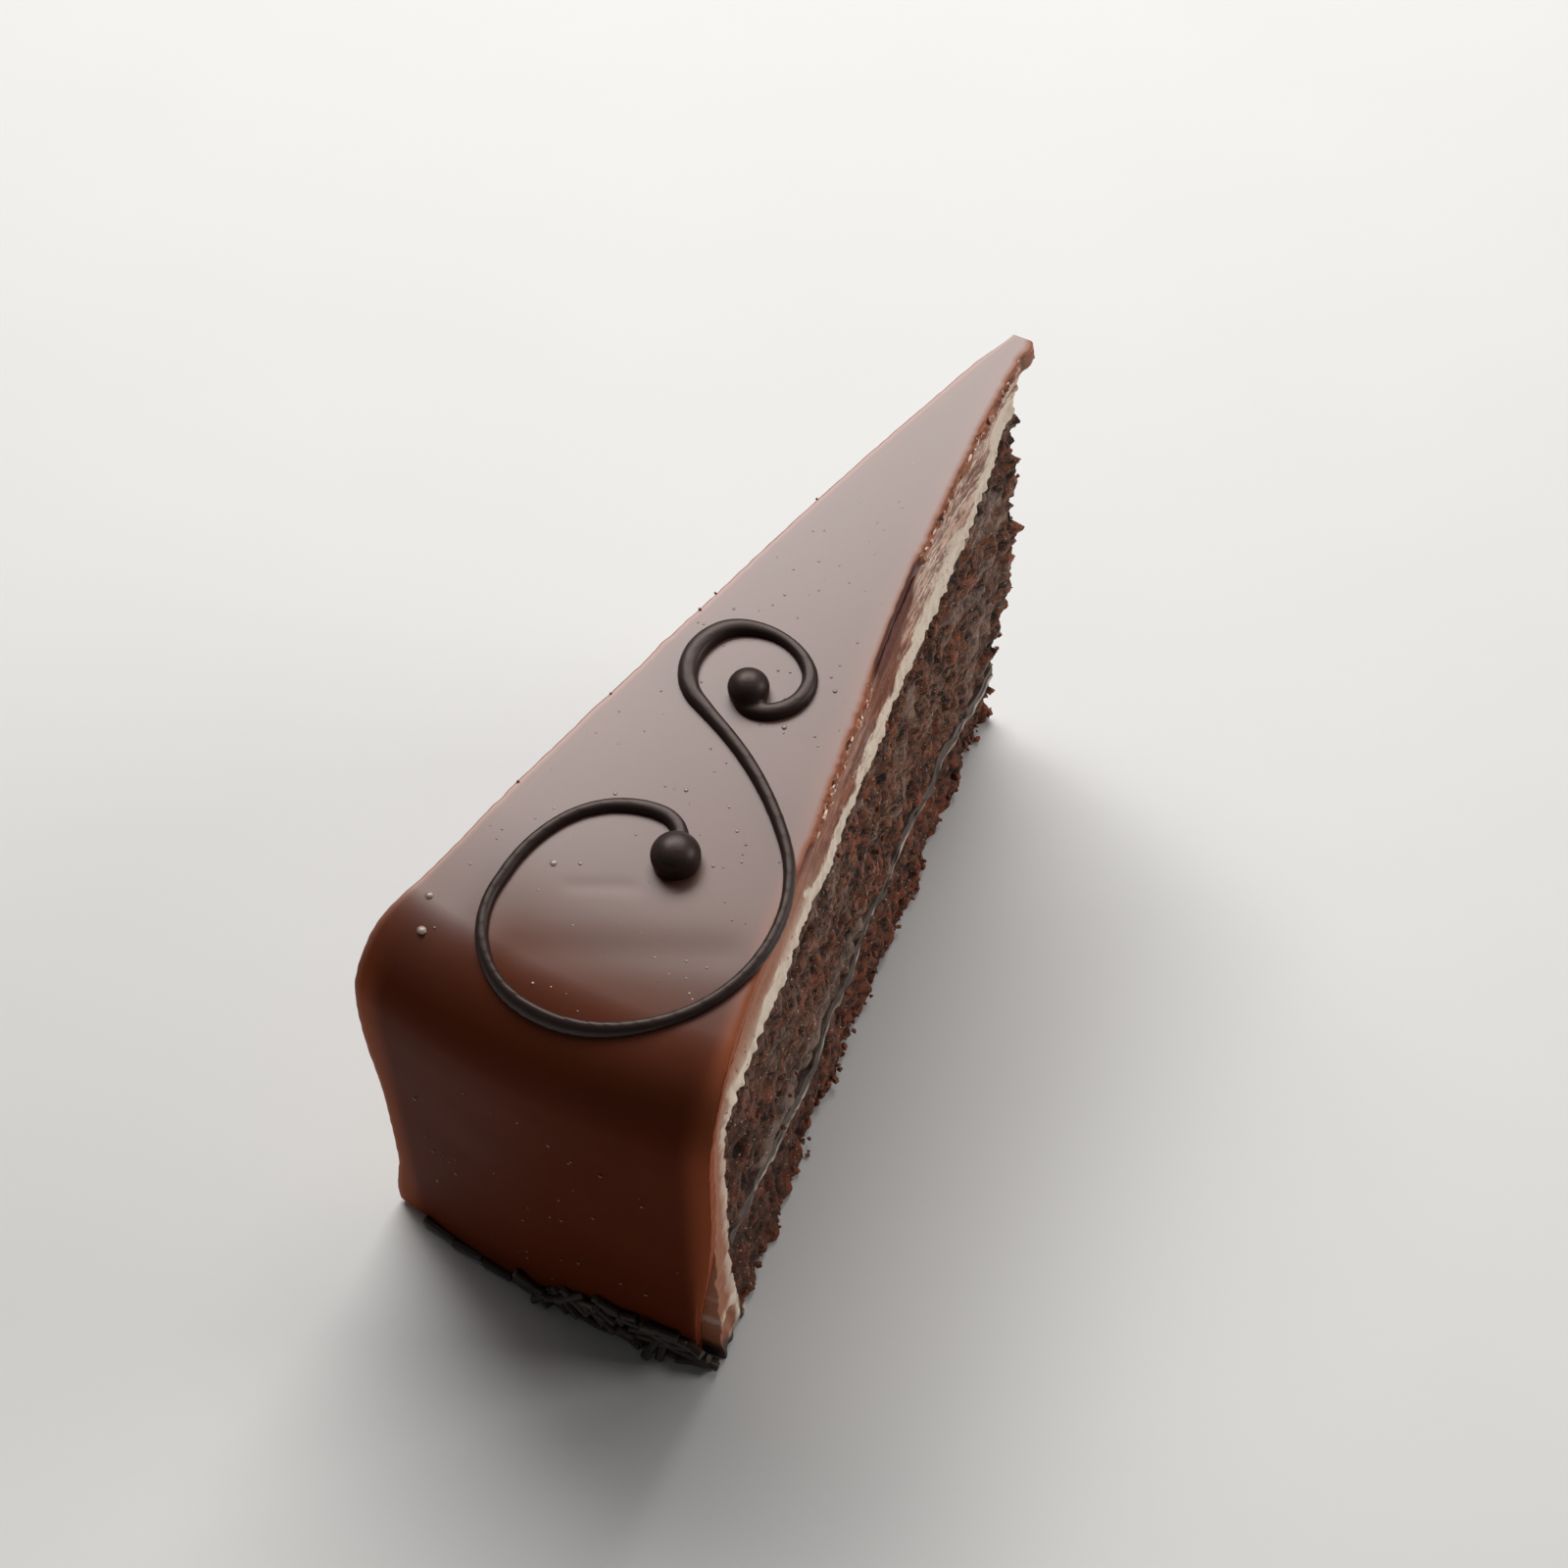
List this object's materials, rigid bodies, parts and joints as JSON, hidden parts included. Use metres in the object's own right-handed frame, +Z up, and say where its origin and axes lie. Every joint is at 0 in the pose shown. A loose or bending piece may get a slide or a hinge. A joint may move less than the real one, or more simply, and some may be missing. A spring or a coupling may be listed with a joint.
{
  "type": "chocolate layer cake slice",
  "caption": "Wedge of chocolate sponge cake under a cream coat and poured chocolate glaze, with chocolate sprinkles at the foot and a piped scroll on top.",
  "frame": {"origin": "on the table under the middle of the slice, halfway from the cake's centre to its rim", "axes": "+Z up, +Y from the rounded rim towards the pointed tip, +X to the right seen from the rim"},
  "size_m": [0.0491, 0.1209, 0.0721],
  "materials": {
    "chocolate_glaze": "satin",
    "cream": "soft, smeared",
    "chocolate_sponge": "open crumb",
    "filling": "moist",
    "dark_chocolate": "satin"
  },
  "bodies": {
    "root": {"glaze": "chocolate_glaze", "cream": "cream", "sponge_top": "chocolate_sponge", "filling": "filling", "sponge_base": "chocolate_sponge", "scroll": "dark_chocolate"}
  },
  "joints": []
}
